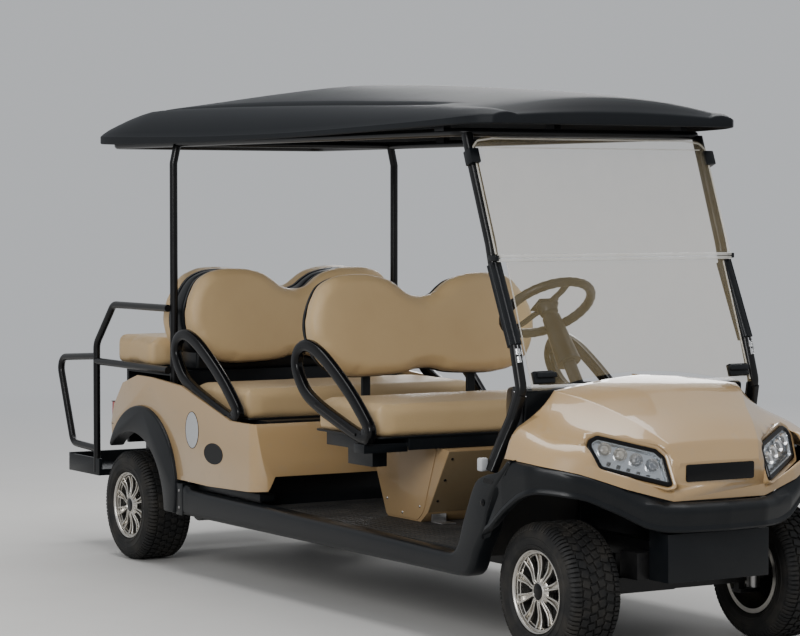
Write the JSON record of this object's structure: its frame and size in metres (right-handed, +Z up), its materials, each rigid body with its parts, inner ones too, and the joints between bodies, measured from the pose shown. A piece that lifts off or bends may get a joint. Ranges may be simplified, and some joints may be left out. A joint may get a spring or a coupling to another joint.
{
  "type": "six-seat golf cart",
  "caption": "Electric golf cart with three bench rows, the last facing back, a domed roof, a folding windshield, hip loops and a rear footplate.",
  "frame": {"origin": "middle of the footprint on the ground, under the middle of the bounding box", "axes": "+X forward, +Y to the left side, +Z up"},
  "size_m": [4.0395, 1.22, 1.94],
  "materials": {
    "body_paint": "glossy painted moulding, warm beige",
    "pedestal_paint": "satin painted moulding, darker tan",
    "black_plastic": "textured black moulding",
    "roof_plastic": "glossy charcoal moulding",
    "steel_black": "black powder-coated steel",
    "steel_bare": "bare machined steel",
    "alloy": "machined aluminium with dark windows",
    "tyre_rubber": "matt tyre rubber",
    "rubber_grip": "soft black moulded grip",
    "seat_vinyl": "smooth beige vinyl over foam",
    "floor_mat": "ribbed dark rubber mat",
    "battery_case": "moulded case",
    "clear_pane": "clear acrylic sheet",
    "clear_strip": "clear acrylic strip",
    "lamp_lens": "clear lens over lamp units",
    "tail_lens": "red lens"
  },
  "bodies": {
    "chassis": {"chassis_frame": "steel_black", "floor_pan": "floor_mat", "rocker_left": "black_plastic", "rocker_right": "black_plastic", "battery_block": "battery_case", "rear_axle": "steel_black", "drive_motor": "steel_black", "rear_springs": "steel_black", "front_axle_beam": "steel_black", "front_springs": "steel_black", "rack_housing": "steel_black", "front_cowl": "body_paint", "front_flares": "black_plastic", "bumper_carrier": "black_plastic", "headlights": "lamp_lens", "dash": "black_plastic", "steering_column": "steel_black", "pedals": "steel_black", "windshield_lower": "clear_pane", "windshield_upper": "clear_pane", "windshield_hinge": "clear_strip", "front_struts": "steel_black", "roof": "roof_plastic", "roof_frame": "steel_black", "rear_posts": "steel_black", "cushion_front": "seat_vinyl", "cushion_middle": "seat_vinyl", "cushion_rear": "seat_vinyl", "backrest_front": "seat_vinyl", "backrest_middle": "seat_vinyl", "backrest_rear": "seat_vinyl", "back_shell": "black_plastic", "front_seat_frame": "steel_black", "front_pedestal": "pedestal_paint", "hip_loops_front": "rubber_grip", "hip_loops_middle": "rubber_grip", "rear_body": "body_paint", "rear_flares": "black_plastic", "tail_lights": "tail_lens", "seat_deck": "black_plastic", "rear_rails": "steel_black", "footplate": "black_plastic"},
    "wheel_front_left": {"tyre_front_left": "tyre_rubber", "rim_front_left": "alloy"},
    "wheel_front_right": {"tyre_front_right": "tyre_rubber", "rim_front_right": "alloy"},
    "wheel_rear_left": {"tyre_rear_left": "tyre_rubber", "rim_rear_left": "alloy"},
    "wheel_rear_right": {"tyre_rear_right": "tyre_rubber", "rim_rear_right": "alloy"},
    "knuckle_left": {"knuckle_left": "steel_bare"},
    "knuckle_right": {"knuckle_right": "steel_bare"},
    "steering_wheel": {"steering_wheel": "rubber_grip"},
    "steering_rack": {"steering_rack": "steel_bare"}
  },
  "joints": [
    {"name": "steering_wheel_turn", "type": "hinge", "parent": "chassis", "child": "steering_wheel", "pos_m": [0.577, 0.27, 1.092], "axis": [-0.5878, 0, 0.809], "range_deg": [-392, 392]},
    {"name": "steer_left", "type": "hinge", "parent": "chassis", "child": "knuckle_left", "pos_m": [1.692, 0.36, 0.226], "axis": [0, 0, 1], "range_deg": [-28, 28]},
    {"name": "steer_right", "type": "hinge", "parent": "chassis", "child": "knuckle_right", "pos_m": [1.692, -0.36, 0.226], "axis": [0, 0, 1], "range_deg": [-28, 28]},
    {"name": "rack_slide", "type": "slide", "parent": "chassis", "child": "steering_rack", "axis": [0, 1, 0], "range_m": [-0.048, 0.048]},
    {"name": "roll_front_left", "type": "hinge", "parent": "knuckle_left", "child": "wheel_front_left", "pos_m": [1.692, 0.44, 0.226], "axis": [0, 1, 0], "continuous": true},
    {"name": "roll_rear_left", "type": "hinge", "parent": "chassis", "child": "wheel_rear_left", "pos_m": [-1.258, 0.49, 0.226], "axis": [0, 1, 0], "continuous": true},
    {"name": "roll_front_right", "type": "hinge", "parent": "knuckle_right", "child": "wheel_front_right", "pos_m": [1.692, -0.44, 0.226], "axis": [0, 1, 0], "continuous": true},
    {"name": "roll_rear_right", "type": "hinge", "parent": "chassis", "child": "wheel_rear_right", "pos_m": [-1.258, -0.49, 0.226], "axis": [0, 1, 0], "continuous": true}
  ],
  "couplings": [
    {"joint": "steer_left", "follows": "steering_wheel_turn", "ratio": 0.071429},
    {"joint": "steer_right", "follows": "steering_wheel_turn", "ratio": 0.071429},
    {"joint": "rack_slide", "follows": "steering_wheel_turn", "m_per_rad": -0.0069}
  ]
}
